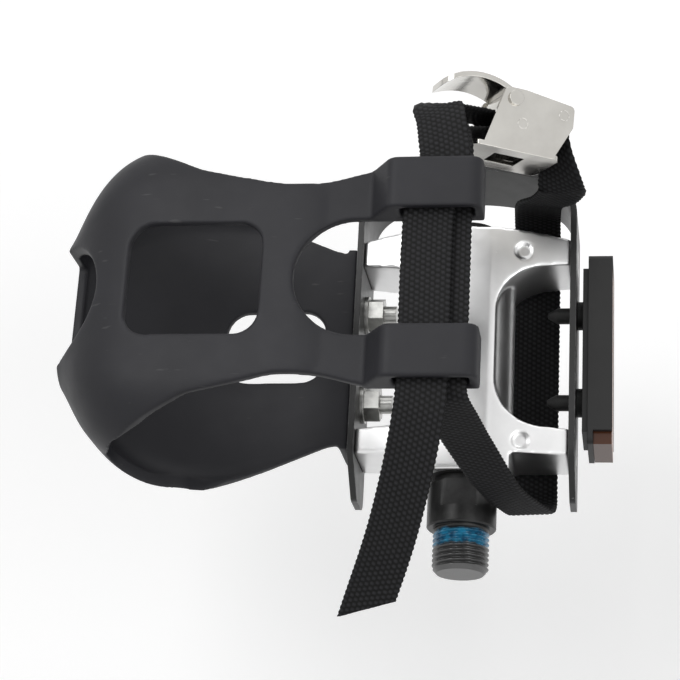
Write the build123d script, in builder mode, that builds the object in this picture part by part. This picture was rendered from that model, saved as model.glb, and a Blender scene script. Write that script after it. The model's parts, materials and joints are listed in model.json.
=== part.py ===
"""Right-hand platform pedal with a plastic toe clip, a webbing strap and a cam buckle.

Millimetres. The spindle lies along Y. The origin is on the spindle axis, on the
shoulder face that seats against the crank. +Y points away from the crank, -X points
to the toe and +Z is the side that the foot stands on.
"""
import math
import os

from build123d import *

os.makedirs("parts", exist_ok=True)

# Pedal centre plane, measured out from the crank shoulder
MID_Y = 46.0

# Spindle
THREAD_R = 7.145
THREAD_LENGTH = 11.5
THREAD_CHAMFER = 1.2
COLLAR_R = 8.8
COLLAR_LENGTH = 4.4
FLAT_LENGTH = 7.0
FLAT_ACROSS = 15.0
SEAL_NECK_R = 6.9
END_THREAD_R = 3.6
NECK_TAPER = 1.0
JOURNAL_RUN = 4.0
END_SHOULDER = 0.6
END_CHAMFER = 0.5
RUNNING_GAP = 0.05

# Bearings, the same at both ends
BALL_R = 1.5875
BALL_PITCH_R = 6.7
BALL_SPARE = 0.3
BALL_GAP = 0.03
CUP_WALL = 0.5825
CUP_LENGTH = 5.2
CUP_BACK = 1.3
IN_BALL_Y = 18.6
OUT_BALL_Y = 67.0
RACE_SHOULDER_R = 6.6
CONE_LENGTH = 6.4
CONE_FLANGE = 2.2
LOCK_WASHER_R = 5.6
LOCK_WASHER_T = 1.0
LOCK_NUT_ACROSS = 10.0
LOCK_NUT_T = 3.4
END_STUB = 0.8

# Cast body
BARREL_R = 12.4
BODY_INBOARD = -33.0
BODY_OUTBOARD = 33.6
BODY_HALF_X = 27.0
BODY_HALF_Z = 10.4
ARM_HALF_Z = 8.6
ARM_OUT_HIGH = 30.0
ARM_OUT_LOW = 23.2
ARM_IN_HIGH = -21.9
ARM_IN_LOW = -28.6
WEB_HALF_X = 8.0
C_RADIUS = 13.0
C_DRAFT = 1.6
CROWN_HALF_X = 6.0
BORE_R = 7.6
DIMPLE_R = 2.2
DIMPLE_DEPTH = 0.4
DIMPLE_X = 15.0

# Seal and dust cap
SEAL_INSET = 0.3
SEAL_T = 1.8
CAP_LIP = 0.7
CAP_PROUD = 2.4
CAP_PLUG = 1.6
CAP_WALL = 1.4

# Cage plate
PLATE_T = 1.6
CAGE_HALF_Z = 11.0
CAGE_CORNER_Y = 43.5
CAGE_PEAK_Y = 53.0
CAGE_CORNER_R = 10.0
CAGE_PEAK_SHARE = 0.97
EAR_TIP = -38.5
EAR_START = -29.0
EAR_TIP_R = 3.0

# Countersunk screws that hold the cage to the arm ends
SCREW_R = 2.0
SCREW_HEAD_R = 3.5
SCREW_LENGTH = 9.0
SCREW_SLOT = 0.8
SCREW_SLOT_LENGTH = 6.0
SCREW_GAP = 0.05
DRILL_EXTRA = 0.8

# Toe clip shell
CLIP_T = 2.5
CLIP_TOP = 56.0
CLIP_FLOOR = 6.8
CLIP_LAP = 0.4
NOSE_X = -98.5
NOSE_BITE_X = -86.0
NOSE_BITE_R = 15.6
NOSE_BITE_LOW = 27.0
SIDE_FRONT = -87.0
SIDE_FRONT_Z = 25.4
SIDE_BROW_X = -80.0
SIDE_BROW_Z = 45.4
SIDE_LOW_X = -71.0
SIDE_LIP = 3.0
SIDE_R = 8.0
SHOULDER_X = -61.0
SHOULDER_HALF_Y = 29.0
SHOULDER_R = 20.0
SIDE_FRONT_HALF_Y = 42.0
WAIST_X = -40.5
WAIST_HALF_Y = 24.4
FLOOR_REAR_HALF_Y = 26.5
FLOOR_REAR_RUN = 4.0
FLOOR_WIDE_X = -66.0
FLOOR_WIDE_HALF_Y = 40.5
FLOOR_FRONT_HALF_Y = 46.0
FLOOR_EDGE_R = 12.0
FLOOR_BRIDGE = 7.0
FLOOR_GAP_FRONT = -62.0
FLOOR_GAP_HALF_Y = 9.8
FLOOR_GAP_R = 6.0
FLANGE_HALF_Y = 27.5
FLANGE_LOW = -8.0
FLANGE_R = 3.0
STRIP_IN = 14.8
STRIP_OUT = 27.8
STRIP_LAP = 5.0
LOOP_FRONT = -13.4
LOOP_REAR = 8.6
LOOP_RAMP = 5.0
LOOP_WALL = 2.2
LOOP_CORNER_R = 3.0
SLOT_HEIGHT = 5.0
WINDOW_FRONT = -77.5
WINDOW_REAR = -44.5
WINDOW_HALF_Y = 14.4
WINDOW_R = 6.0
NOTCH_APEX = -36.5

# Toe clip bolts
BOLT_R = 2.4
BOLT_SPREAD = 12.5
BOLT_HEAD_R = 4.4
BOLT_HEAD_T = 3.0
BOLT_STUB = 3.2
NUT_ACROSS = 8.0
NUT_T = 4.0
CLIP_WASHER_R = 5.0
CLIP_WASHER_T = 1.0
BOLT_GAP = 0.1

# Rear reflector
REFLECTOR_HALF_Y = 25.6
REFLECTOR_HALF_Z = 9.0
REFLECTOR_DEPTH = 6.2
REFLECTOR_STANDOFF = 3.0
REFLECTOR_WALL = 1.4
LENS_GAP = 0.1
LENS_SHOWS = 3.4
PEG_R = 2.1
PEG_SPREAD = 12.0
PEG_REACH = 6.0
PEG_TIP = 2.4
PEG_SHOULDER = 1.6
PEG_GAP = 0.15
NIB_R = 0.5
NIB_LENGTH = 2.0

# Strap webbing
STRAP_WIDTH = 12.0
STRAP_T = 1.5
LAYER_STEP = 2.2
WRAP_GAP = 0.3
UNDER_GAP = 0.4
TAIL_CUT = 40.0

# Buckle, in its own plane
BUCKLE_AT = (11.0, 41.5, 42.0)
BUCKLE_RUN = (0.88, 0.0, -0.475)
BUCKLE_OUT = (0.0756, 0.98, 0.14)
BUCKLE_T = 1.2
BUCKLE_FLOOR = 3.0
BUCKLE_CORNER_R = 2.0
BUCKLE_GAP = 0.6
BUCKLE_NEAR = -10.0
BUCKLE_SLOT_HALF = 3.6
BUCKLE_SLOT_NEAR = -3.0
BUCKLE_SLOT_FAR = 5.0
BAR_R = 1.3
TURN_BAR_X = 2.0
TURN_BAR_Z = 3.2
END_BAR_X = 12.8
END_BAR_Z = 7.5
BAR_WALL = 1.4
CHEEK_R = 1.2
PIVOT_X = -0.4
PIVOT_Z = 9.3
PIN_R = 1.2
PIN_HEAD_R = 1.9
PIN_HEAD_T = 0.7
CAM_R = 2.6
LEVER_REACH = 18.0
LEVER_T = 1.3
LEVER_BULGE = 2.6
LEVER_TIP_DROP = 0.6
LEVER_TIP_R = 4.0
LEVER_SIDE_GAP = 0.3


def y_at(offset):
    """Distance along the spindle of a point given from the pedal's centre plane."""
    return MID_Y + offset


def across_y(y):
    """Plane that faces +Y at y, with X to the right."""
    return Plane(origin=(0, y, 0), x_dir=(1, 0, 0), z_dir=(0, 1, 0))


def save(part, name):
    """Label a finished piece and write it as one STEP file."""
    part.label = name
    export_step(part, f"parts/{name}.step")


# Spindle: thread, collar with wrench flats, seal neck, race and end thread
FLAT_END = COLLAR_LENGTH + FLAT_LENGTH
JOURNAL_R = BALL_PITCH_R - BALL_R - BALL_GAP
RACE_FACE = BALL_R + BALL_GAP
IN_RACE_Y = IN_BALL_Y - RACE_FACE
CONE_INNER_Y = OUT_BALL_Y + RACE_FACE + CONE_FLANGE - CONE_LENGTH
CONE_OUTER_Y = CONE_INNER_Y + CONE_LENGTH
NUT_Y = CONE_OUTER_Y + LOCK_WASHER_T
SPINDLE_END = NUT_Y + LOCK_NUT_T + END_STUB

with BuildPart() as spindle:
    with BuildSketch(Plane.XY):
        with BuildLine():
            Polyline(
                (0, -THREAD_LENGTH),
                (THREAD_R - THREAD_CHAMFER, -THREAD_LENGTH),
                (THREAD_R, -THREAD_LENGTH + THREAD_CHAMFER),
                (THREAD_R, 0),
                (COLLAR_R, 0),
                (COLLAR_R, FLAT_END),
                (SEAL_NECK_R, FLAT_END),
                (SEAL_NECK_R, IN_RACE_Y - NECK_TAPER),
                (RACE_SHOULDER_R, IN_RACE_Y),
                (JOURNAL_R, IN_RACE_Y),
                (JOURNAL_R, IN_BALL_Y + JOURNAL_RUN),
                (END_THREAD_R + END_SHOULDER, CONE_INNER_Y - 2 * END_SHOULDER),
                (END_THREAD_R, CONE_INNER_Y - END_SHOULDER),
                (END_THREAD_R, SPINDLE_END - END_CHAMFER),
                (END_THREAD_R - END_CHAMFER, SPINDLE_END),
                (0, SPINDLE_END),
                close=True,
            )
        make_face()
    revolve(axis=Axis.Y)
    with BuildSketch(across_y(COLLAR_LENGTH)):
        Rectangle(4 * COLLAR_R, 4 * COLLAR_R)
        Rectangle(4 * COLLAR_R, FLAT_ACROSS, mode=Mode.SUBTRACT)
    extrude(amount=FLAT_LENGTH, mode=Mode.SUBTRACT)
save(spindle.part, "spindle")

# Bearing cups: L-section rings, with their backs towards the middle of the barrel
CUP_INNER_R = BALL_PITCH_R + BALL_R + BALL_GAP
CUP_R = CUP_INNER_R + CUP_WALL


def cup_section(ball_y, toward_middle):
    """Closed L-shaped outline of a cup, radius along X."""
    back = ball_y + toward_middle * RACE_FACE
    end = back + toward_middle * CUP_BACK
    mouth = end - toward_middle * CUP_LENGTH
    Polyline(
        (CUP_INNER_R, mouth),
        (CUP_R, mouth),
        (CUP_R, end),
        (RACE_SHOULDER_R, end),
        (RACE_SHOULDER_R, back),
        (CUP_INNER_R, back),
        close=True,
    )


with BuildPart() as inboard_cup:
    with BuildSketch(Plane.XY):
        with BuildLine():
            cup_section(IN_BALL_Y, 1)
        make_face()
    revolve(axis=Axis.Y)
save(inboard_cup.part, "inboard_cup")

with BuildPart() as outboard_cup:
    with BuildSketch(Plane.XY):
        with BuildLine():
            cup_section(OUT_BALL_Y, -1)
        make_face()
    revolve(axis=Axis.Y)
save(outboard_cup.part, "outboard_cup")

# Two rings of loose balls, as many as the pitch circle holds
BALL_COUNT = int(math.tau * BALL_PITCH_R / (2 * BALL_R + BALL_SPARE))

with BuildPart() as inboard_balls:
    with Locations(across_y(IN_BALL_Y)):
        with PolarLocations(BALL_PITCH_R, BALL_COUNT):
            Sphere(BALL_R)
save(inboard_balls.part, "inboard_balls")

with BuildPart() as outboard_balls:
    with Locations(across_y(OUT_BALL_Y)):
        with PolarLocations(BALL_PITCH_R, BALL_COUNT):
            Sphere(BALL_R)
save(outboard_balls.part, "outboard_balls")

# Adjusting cone, keyed washer and lock nut on the spindle's end thread
with BuildPart() as adjusting_cone:
    with BuildSketch(Plane.XY):
        with BuildLine():
            Polyline(
                (END_THREAD_R + RUNNING_GAP, CONE_INNER_Y),
                (JOURNAL_R, CONE_INNER_Y),
                (JOURNAL_R, OUT_BALL_Y + RACE_FACE),
                (RACE_SHOULDER_R, OUT_BALL_Y + RACE_FACE),
                (RACE_SHOULDER_R, CONE_OUTER_Y),
                (END_THREAD_R + RUNNING_GAP, CONE_OUTER_Y),
                close=True,
            )
        make_face()
    revolve(axis=Axis.Y)
save(adjusting_cone.part, "adjusting_cone")

with BuildPart() as lock_washer:
    with BuildSketch(across_y(CONE_OUTER_Y)):
        Circle(LOCK_WASHER_R)
        Circle(END_THREAD_R + RUNNING_GAP, mode=Mode.SUBTRACT)
    extrude(amount=LOCK_WASHER_T)
save(lock_washer.part, "lock_washer")

with BuildPart() as lock_nut:
    with BuildSketch(across_y(NUT_Y)):
        RegularPolygon(LOCK_NUT_ACROSS / 2, 6, major_radius=False)
        Circle(END_THREAD_R + RUNNING_GAP, mode=Mode.SUBTRACT)
    extrude(amount=LOCK_NUT_T)
save(lock_nut.part, "lock_nut")

# Cast body: two pairs of arms on a barrel, trimmed by a crowned side profile
ARM_ENDS = [
    (side, y_at((low + high) / 2))
    for side in (-1, 1)
    for low, high in ((ARM_OUT_LOW, ARM_OUT_HIGH), (ARM_IN_LOW, ARM_IN_HIGH))
]
IN_CUP_END = IN_BALL_Y + RACE_FACE + CUP_BACK
OUT_CUP_END = OUT_BALL_Y - RACE_FACE - CUP_BACK
CROWN_SLOPE = (BODY_HALF_Z - ARM_HALF_Z) / (BODY_HALF_X - CROWN_HALF_X)
C_MOUTH_X = BODY_HALF_X + PLATE_T
DIMPLE_FLOOR = BODY_HALF_Z - CROWN_SLOPE * (DIMPLE_X + DIMPLE_R - CROWN_HALF_X) - DIMPLE_DEPTH

with BuildPart() as pedal_body:
    with BuildSketch(Plane.XY.offset(-BODY_HALF_Z)):
        with BuildLine():
            crown = ThreePointArc(
                (-BODY_HALF_X, y_at(ARM_OUT_HIGH)),
                (0, y_at(BODY_OUTBOARD)),
                (BODY_HALF_X, y_at(ARM_OUT_HIGH)),
            )
            Polyline(
                crown @ 1,
                (BODY_HALF_X, y_at(ARM_IN_LOW)),
                (BARREL_R, y_at(ARM_IN_LOW)),
                (BARREL_R, y_at(BODY_INBOARD)),
                (-BARREL_R, y_at(BODY_INBOARD)),
                (-BARREL_R, y_at(ARM_IN_LOW)),
                (-BODY_HALF_X, y_at(ARM_IN_LOW)),
                crown @ 0,
            )
        make_face()
        for side in (-1, 1):
            with BuildLine():
                FilletPolyline(
                    (side * C_MOUTH_X, y_at(ARM_IN_HIGH)),
                    (side * WEB_HALF_X, y_at(ARM_IN_HIGH + C_DRAFT)),
                    (side * WEB_HALF_X, y_at(ARM_OUT_LOW - C_DRAFT)),
                    (side * C_MOUTH_X, y_at(ARM_OUT_LOW)),
                    radius=C_RADIUS,
                    close=False,
                )
                Line(
                    (side * C_MOUTH_X, y_at(ARM_OUT_LOW)),
                    (side * C_MOUTH_X, y_at(ARM_IN_HIGH)),
                )
            make_face(mode=Mode.SUBTRACT)
    extrude(amount=2 * BODY_HALF_Z)
    with BuildSketch(across_y(y_at(BODY_INBOARD))):
        with BuildLine():
            Polyline(
                (-BODY_HALF_X, -ARM_HALF_Z),
                (-CROWN_HALF_X, -BODY_HALF_Z),
                (CROWN_HALF_X, -BODY_HALF_Z),
                (BODY_HALF_X, -ARM_HALF_Z),
                (BODY_HALF_X, ARM_HALF_Z),
                (CROWN_HALF_X, BODY_HALF_Z),
                (-CROWN_HALF_X, BODY_HALF_Z),
                (-BODY_HALF_X, ARM_HALF_Z),
                close=True,
            )
        make_face()
    extrude(amount=BODY_OUTBOARD - BODY_INBOARD, mode=Mode.INTERSECT)
    with BuildSketch(across_y(y_at(BODY_INBOARD))):
        Circle(BARREL_R)
        Rectangle(3 * BARREL_R, 2 * BODY_HALF_Z, mode=Mode.INTERSECT)
    extrude(amount=ARM_OUT_HIGH - BODY_INBOARD)
    with BuildSketch(across_y(y_at(BODY_INBOARD))):
        Circle(BORE_R)
    extrude(amount=BODY_OUTBOARD - BODY_INBOARD, mode=Mode.SUBTRACT)
    with BuildSketch(across_y(y_at(BODY_INBOARD))):
        Circle(CUP_R)
    extrude(amount=IN_CUP_END - y_at(BODY_INBOARD), mode=Mode.SUBTRACT)
    with BuildSketch(across_y(OUT_CUP_END)):
        Circle(CUP_R)
    extrude(amount=y_at(BODY_OUTBOARD) - OUT_CUP_END, mode=Mode.SUBTRACT)
    for side, arm_y in ARM_ENDS:
        with BuildSketch(Plane.YZ.offset(side * BODY_HALF_X)):
            with Locations((arm_y, 0)):
                Circle(SCREW_R + SCREW_GAP)
        extrude(amount=-side * (SCREW_LENGTH - PLATE_T + DRILL_EXTRA), mode=Mode.SUBTRACT)
    for side, arm_y in ARM_ENDS:
        with BuildSketch(Plane.XY.offset(DIMPLE_FLOOR)):
            with Locations((side * DIMPLE_X, arm_y)):
                Circle(DIMPLE_R)
        extrude(amount=BODY_HALF_Z - DIMPLE_FLOOR, mode=Mode.SUBTRACT)
save(pedal_body.part, "pedal_body")

# Inboard seal ring and outboard dust cap, both pressed into the barrel
with BuildPart() as inboard_seal:
    with BuildSketch(across_y(y_at(BODY_INBOARD) + SEAL_INSET)):
        Circle(CUP_R)
        Circle(SEAL_NECK_R + RUNNING_GAP, mode=Mode.SUBTRACT)
    extrude(amount=SEAL_T)
save(inboard_seal.part, "inboard_seal")

CAP_FACE = y_at(BODY_OUTBOARD)
CAP_R = CUP_R + CAP_LIP
with BuildPart() as dust_cap:
    with BuildSketch(Plane.XY):
        with BuildLine():
            Polyline(
                (0, CAP_FACE + CAP_PROUD),
                (CAP_R - CAP_PROUD, CAP_FACE + CAP_PROUD),
                (CAP_R, CAP_FACE),
                (CUP_R, CAP_FACE),
                (CUP_R, CAP_FACE - CAP_PLUG),
                (CUP_R - CAP_WALL, CAP_FACE - CAP_PLUG),
                (CUP_R - CAP_WALL, CAP_FACE),
                (0, CAP_FACE),
                close=True,
            )
        make_face()
    revolve(axis=Axis.Y)
save(dust_cap.part, "dust_cap")

# Cage: one bent plate along both arm ends and round the outboard end, with tapered ears
PLATE_IN = BODY_HALF_X
PLATE_OUT = BODY_HALF_X + PLATE_T
BOLTS = [y_at(offset) for offset in (-BOLT_SPREAD, BOLT_SPREAD)]
PEGS = [y_at(offset) for offset in (-PEG_SPREAD, PEG_SPREAD)]
CAGE_SLOPE = math.atan2(CAGE_PEAK_Y - CAGE_CORNER_Y, PLATE_IN)
CAGE_RUN = math.hypot(CAGE_PEAK_Y - CAGE_CORNER_Y, PLATE_IN)
CAGE_BEND = CAGE_CORNER_R * math.tan(math.pi / 4 - CAGE_SLOPE / 2)
CAGE_PEAK_R = CAGE_PEAK_SHARE * (CAGE_RUN - CAGE_BEND) / math.tan(CAGE_SLOPE)

with BuildPart() as cage:
    with BuildSketch(Plane.XY.offset(-CAGE_HALF_Z)):
        with BuildLine():
            FilletPolyline(
                (PLATE_IN, y_at(EAR_TIP)),
                (PLATE_IN, y_at(CAGE_CORNER_Y)),
                (0, y_at(CAGE_PEAK_Y)),
                (-PLATE_IN, y_at(CAGE_CORNER_Y)),
                (-PLATE_IN, y_at(EAR_TIP)),
                radius=[CAGE_CORNER_R, CAGE_PEAK_R, CAGE_CORNER_R],
            )
            offset(amount=PLATE_T, side=Side.RIGHT)
        make_face()
    extrude(amount=2 * CAGE_HALF_Z)
    with BuildSketch(Plane.YZ.offset(-2 * BODY_HALF_X)):
        with BuildLine():
            ear = FilletPolyline(
                (y_at(CAGE_PEAK_Y), CAGE_HALF_Z),
                (y_at(EAR_START), CAGE_HALF_Z),
                (y_at(EAR_TIP), 0),
                (y_at(EAR_TIP), -CAGE_HALF_Z),
                (y_at(CAGE_PEAK_Y), -CAGE_HALF_Z),
                radius=EAR_TIP_R,
            )
            Line(ear @ 1, ear @ 0)
        make_face()
    extrude(amount=4 * BODY_HALF_X, mode=Mode.INTERSECT)
    for side, arm_y in ARM_ENDS:
        with Locations(Plane((side * PLATE_OUT, arm_y, 0), x_dir=(0, 1, 0), z_dir=(side, 0, 0))):
            CounterSinkHole(SCREW_R + SCREW_GAP, SCREW_HEAD_R + SCREW_GAP, PLATE_T)
    with BuildSketch(Plane.YZ.offset(-PLATE_OUT)):
        for bolt_y in BOLTS:
            with Locations((bolt_y, 0)):
                Circle(BOLT_R + BOLT_GAP)
    extrude(amount=PLATE_T, mode=Mode.SUBTRACT)
    with BuildSketch(Plane.YZ.offset(PLATE_IN)):
        for peg_y in PEGS:
            with Locations((peg_y, 0)):
                Circle(PEG_R + PEG_GAP)
    extrude(amount=PLATE_T, mode=Mode.SUBTRACT)
save(cage.part, "cage")

# Four countersunk screws, heads flush with the plate
HEAD_DEPTH = SCREW_HEAD_R - SCREW_R
with BuildPart() as cage_screws:
    for side, arm_y in ARM_ENDS:
        with BuildSketch(Plane.YZ.offset(side * PLATE_OUT)):
            with Locations((arm_y, 0)):
                Circle(SCREW_R)
        extrude(amount=-side * SCREW_LENGTH)
        head = Plane((side * PLATE_OUT, arm_y, 0), x_dir=(0, 1, 0), z_dir=(-side, 0, 0))
        with Locations(head):
            Cone(
                SCREW_HEAD_R, SCREW_R, HEAD_DEPTH,
                align=(Align.CENTER, Align.CENTER, Align.MIN),
            )
        with BuildSketch(Plane.YZ.offset(side * PLATE_OUT)):
            with Locations((arm_y, 0)):
                Rectangle(SCREW_SLOT, SCREW_SLOT_LENGTH)
        extrude(amount=-side * SCREW_SLOT, mode=Mode.SUBTRACT)
save(cage_screws.part, "cage_screws")

# Toe clip: a lofted shell with cut-outs, two strips with strap loops and a bolted flange
CLIP_REAR = -(PLATE_OUT + CLIP_LAP)
CLIP_UNDER = CLIP_TOP - CLIP_T
FLOOR_TOP = CLIP_FLOOR + CLIP_T
SLOT_TOP = CLIP_TOP + SLOT_HEIGHT
LOOP_TOP = SLOT_TOP + LOOP_WALL
CUT_SPLIT = (CLIP_TOP + CLIP_FLOOR) / 2
CUT_REACH = 2 * CLIP_TOP
FLOOR_GAP_REAR = CLIP_REAR - FLOOR_BRIDGE
# Each station: place along X, half width, rise of the floor, drop of the top, shoulder and floor radii
CLIP_STATIONS = [
    (CLIP_REAR, 36.0, 0.0, 0.0, 15.0, 10.0),
    (-50.0, 40.0, 0.0, 0.0, 16.0, 10.0),
    (-68.0, 41.5, 1.0, 0.0, 17.0, 10.0),
    (-81.0, 39.0, 4.5, 2.0, 17.0, 10.0),
    (-91.0, 31.0, 10.0, 8.5, 15.0, 9.0),
    (NOSE_X, 19.5, 16.5, 18.0, 8.0, 6.0),
]


def clip_section(section, half, low, high, top_r, floor_r):
    """Cross-section of the shell, with wide shoulders and tighter corners at the floor."""
    with Locations((MID_Y, (low + high) / 2)):
        Rectangle(2 * half, high - low)
    fillet(section.vertices().group_by(Axis.Y)[-1], top_r)
    fillet(section.vertices().group_by(Axis.Y)[0], floor_r)


with BuildPart() as toe_clip:
    for x, half, rise, drop, top_r, floor_r in CLIP_STATIONS:
        with BuildSketch(Plane.YZ.offset(x)) as outer:
            clip_section(outer, half, CLIP_FLOOR + rise, CLIP_TOP - drop, top_r, floor_r)
    loft()
    for x, half, rise, drop, top_r, floor_r in CLIP_STATIONS:
        share = (x - CLIP_REAR) / (NOSE_X - CLIP_REAR)
        with BuildSketch(Plane.YZ.offset(x + CLIP_T * share**2)) as inner:
            clip_section(
                inner,
                half - CLIP_T,
                FLOOR_TOP + rise,
                CLIP_UNDER - drop,
                top_r - CLIP_T,
                floor_r - CLIP_T,
            )
    loft(mode=Mode.SUBTRACT)
    with BuildSketch(Plane.XZ.offset(-MID_Y)):
        with BuildLine():
            side_edge = FilletPolyline(
                (0, FLOOR_TOP + SIDE_LIP),
                (SIDE_LOW_X, FLOOR_TOP + SIDE_LIP),
                (SIDE_FRONT, SIDE_FRONT_Z),
                (SIDE_BROW_X, SIDE_BROW_Z),
                (SHOULDER_X, CLIP_UNDER),
                (0, CLIP_UNDER),
                radius=SIDE_R,
            )
            Line(side_edge @ 1, side_edge @ 0)
        make_face()
    extrude(amount=CUT_REACH, both=True, mode=Mode.SUBTRACT)
    with BuildSketch(Plane.XY.offset(CUT_SPLIT)):
        for side in (-1, 1):
            with BuildLine():
                top_edge = FilletPolyline(
                    (0, y_at(side * WAIST_HALF_Y)),
                    (WAIST_X, y_at(side * WAIST_HALF_Y)),
                    (SHOULDER_X, y_at(side * SHOULDER_HALF_Y)),
                    (SIDE_FRONT, y_at(side * SIDE_FRONT_HALF_Y)),
                    radius=SHOULDER_R,
                )
                Polyline(
                    top_edge @ 1,
                    (SIDE_FRONT, y_at(side * CUT_REACH)),
                    (0, y_at(side * CUT_REACH)),
                    top_edge @ 0,
                )
            make_face()
    extrude(amount=CUT_REACH, mode=Mode.SUBTRACT)
    with BuildSketch(Plane.XY.offset(CUT_SPLIT)):
        for side in (-1, 1):
            with BuildLine():
                floor_edge = FilletPolyline(
                    (0, y_at(side * FLOOR_REAR_HALF_Y)),
                    (CLIP_REAR - FLOOR_REAR_RUN, y_at(side * FLOOR_REAR_HALF_Y)),
                    (FLOOR_WIDE_X, y_at(side * FLOOR_WIDE_HALF_Y)),
                    (SIDE_FRONT, y_at(side * FLOOR_FRONT_HALF_Y)),
                    radius=FLOOR_EDGE_R,
                )
                Polyline(
                    floor_edge @ 1,
                    (SIDE_FRONT, y_at(side * CUT_REACH)),
                    (0, y_at(side * CUT_REACH)),
                    floor_edge @ 0,
                )
            make_face()
        with Locations(((FLOOR_GAP_FRONT + FLOOR_GAP_REAR) / 2, MID_Y)):
            RectangleRounded(FLOOR_GAP_REAR - FLOOR_GAP_FRONT, 2 * FLOOR_GAP_HALF_Y, FLOOR_GAP_R)
    extrude(amount=-CUT_REACH, mode=Mode.SUBTRACT)
    with BuildSketch(Plane.XY.offset(CLIP_UNDER)):
        for side in (-1, 1):
            with BuildLine():
                strip = Polyline(
                    (LOOP_FRONT, y_at(side * STRIP_OUT)),
                    (LOOP_REAR, y_at(side * STRIP_OUT)),
                    (LOOP_REAR, y_at(side * STRIP_IN)),
                    (LOOP_FRONT, y_at(side * STRIP_IN)),
                    (CLIP_REAR - STRIP_LAP, y_at(side * STRIP_IN / 2)),
                    (CLIP_REAR - STRIP_LAP, y_at(side * WAIST_HALF_Y)),
                )
                Spline(strip @ 1, strip @ 0, tangents=[(1, 0), (1, 0)])
            make_face()
    extrude(amount=CLIP_T)
    with BuildSketch(Plane.XY.offset(CUT_SPLIT)):
        with Locations((NOTCH_APEX + STRIP_IN, MID_Y)):
            Circle(STRIP_IN)
            Rectangle(CUT_REACH, 2 * STRIP_IN, align=(Align.MIN, Align.CENTER))
        with Locations(((WINDOW_FRONT + WINDOW_REAR) / 2, MID_Y)):
            RectangleRounded(WINDOW_REAR - WINDOW_FRONT, 2 * WINDOW_HALF_Y, WINDOW_R)
    extrude(amount=CUT_REACH, mode=Mode.SUBTRACT)
    for low_y in (y_at(STRIP_IN), y_at(-STRIP_OUT)):
        with BuildSketch(Plane.XZ.offset(-low_y)) as loop:
            with BuildLine():
                Polyline(
                    (LOOP_FRONT - LOOP_RAMP, CLIP_UNDER),
                    (LOOP_FRONT - LOOP_RAMP, CLIP_TOP),
                    (LOOP_FRONT, LOOP_TOP),
                    (LOOP_REAR, LOOP_TOP),
                    (LOOP_REAR, CLIP_UNDER),
                    close=True,
                )
            make_face()
            fillet(loop.vertices().group_by(Axis.Y)[-1], LOOP_CORNER_R)
            with Locations(((LOOP_FRONT + LOOP_REAR) / 2, (CLIP_TOP + SLOT_TOP) / 2)):
                Rectangle(LOOP_REAR - LOOP_FRONT - 2 * LOOP_WALL, SLOT_HEIGHT, mode=Mode.SUBTRACT)
        extrude(amount=STRIP_IN - STRIP_OUT)
    with BuildSketch(Plane.XY.offset(NOSE_BITE_LOW)):
        with Locations((NOSE_BITE_X - NOSE_BITE_R, MID_Y)):
            Circle(NOSE_BITE_R)
    extrude(amount=CUT_REACH, mode=Mode.SUBTRACT)
    with BuildSketch(Plane.YZ.offset(-PLATE_OUT)) as flange:
        with Locations((MID_Y, (FLANGE_LOW + FLOOR_TOP) / 2)):
            Rectangle(2 * FLANGE_HALF_Y, FLOOR_TOP - FLANGE_LOW)
        fillet(flange.vertices().group_by(Axis.Y)[0], FLANGE_R)
        for bolt_y in BOLTS:
            with Locations((bolt_y, 0)):
                Circle(BOLT_R + BOLT_GAP, mode=Mode.SUBTRACT)
    extrude(amount=-CLIP_T)
save(toe_clip.part, "toe_clip")

# Two bolts through flange and plate, with washers and nuts inside the cage
WASHER_FACE = -PLATE_IN + CLIP_WASHER_T
NUT_FACE = WASHER_FACE + NUT_T
BOLT_HEAD_FACE = -PLATE_OUT - CLIP_T
with BuildPart() as clip_bolts:
    for bolt_y in BOLTS:
        with BuildSketch(Plane.YZ.offset(BOLT_HEAD_FACE)):
            with Locations((bolt_y, 0)):
                Circle(BOLT_R)
        extrude(amount=NUT_FACE + BOLT_STUB - BOLT_HEAD_FACE)
        with BuildSketch(Plane.YZ.offset(BOLT_HEAD_FACE)):
            with Locations((bolt_y, 0)):
                Circle(BOLT_HEAD_R)
        extrude(amount=-BOLT_HEAD_T)
save(clip_bolts.part, "clip_bolts")

with BuildPart() as clip_washers:
    for bolt_y in BOLTS:
        with BuildSketch(Plane.YZ.offset(-PLATE_IN)):
            with Locations((bolt_y, 0)):
                Circle(CLIP_WASHER_R)
                Circle(BOLT_R + BOLT_GAP, mode=Mode.SUBTRACT)
        extrude(amount=CLIP_WASHER_T)
save(clip_washers.part, "clip_washers")

with BuildPart() as clip_nuts:
    for bolt_y in BOLTS:
        with BuildSketch(Plane.YZ.offset(WASHER_FACE)):
            with Locations((bolt_y, 0)):
                RegularPolygon(NUT_ACROSS / 2, 6, major_radius=False)
                Circle(BOLT_R + BOLT_GAP, mode=Mode.SUBTRACT)
        extrude(amount=NUT_T)
save(clip_nuts.part, "clip_nuts")

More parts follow.
